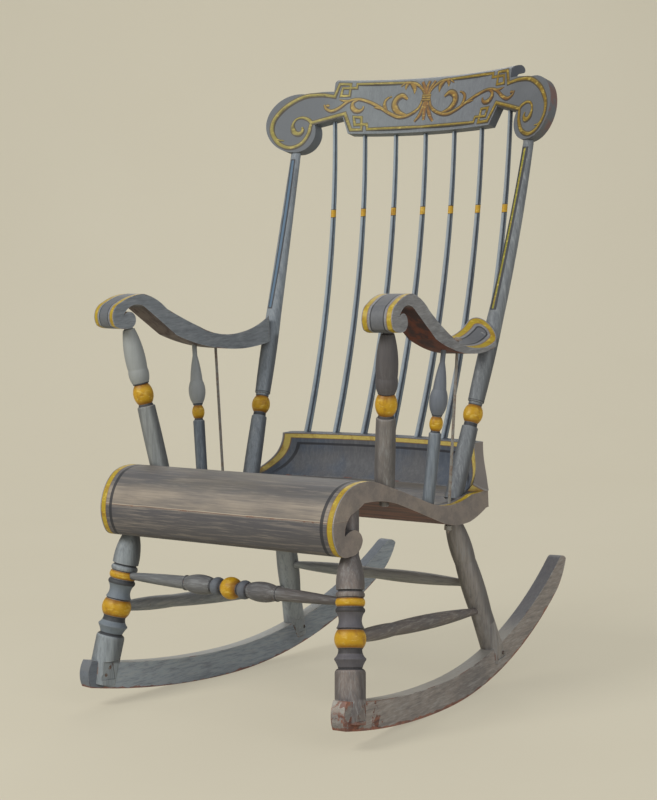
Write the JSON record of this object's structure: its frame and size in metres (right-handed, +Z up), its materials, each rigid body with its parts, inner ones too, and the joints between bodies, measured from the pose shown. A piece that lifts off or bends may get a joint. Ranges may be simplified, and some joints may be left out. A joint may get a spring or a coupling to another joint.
{
  "type": "scroll-crest rocking chair",
  "caption": "Painted wooden rocking chair with a scrolled crest rail, spindle back, scrolled arms, turned legs and a plank seat that rolls over at the front.",
  "frame": {"origin": "on the floor, at the middle of the chair's width and depth, with the chair at rest on its rockers", "axes": "+Z up, the chair faces -Y, +X is the sitter's left"},
  "size_m": [0.66, 0.7585, 1.0716],
  "materials": {
    "frame_paint": "worn blue-grey paint with yellow stripes and rings",
    "seat_paint": "worn grey-brown paint over wood",
    "bare_wood": "bare aged wood",
    "iron": "dark wrought iron"
  },
  "bodies": {
    "root": {"seat_plank": "seat_paint", "seat_front_roll": "seat_paint", "seat_back_rise": "frame_paint", "seat_dowels": "bare_wood", "crest_rail": "frame_paint", "back_post_left": "frame_paint", "back_post_right": "frame_paint", "back_spindle_1": "frame_paint", "back_spindle_2": "frame_paint", "back_spindle_3": "frame_paint", "back_spindle_4": "frame_paint", "back_spindle_5": "frame_paint", "back_spindle_6": "frame_paint", "back_spindle_7": "frame_paint", "arm_left": "frame_paint", "arm_right": "frame_paint", "arm_post_left": "frame_paint", "arm_post_right": "frame_paint", "arm_spindle_left": "frame_paint", "arm_spindle_right": "frame_paint", "tie_rod_left": "iron", "tie_rod_right": "iron", "tie_rod_nuts": "iron", "front_leg_left": "frame_paint", "front_leg_right": "frame_paint", "rear_leg_left": "frame_paint", "rear_leg_right": "frame_paint", "rocker_left": "frame_paint", "rocker_right": "frame_paint", "front_stretcher": "frame_paint", "rear_stretcher": "frame_paint", "side_stretcher_left": "frame_paint", "side_stretcher_right": "frame_paint", "rocker_pegs": "bare_wood"}
  },
  "joints": []
}
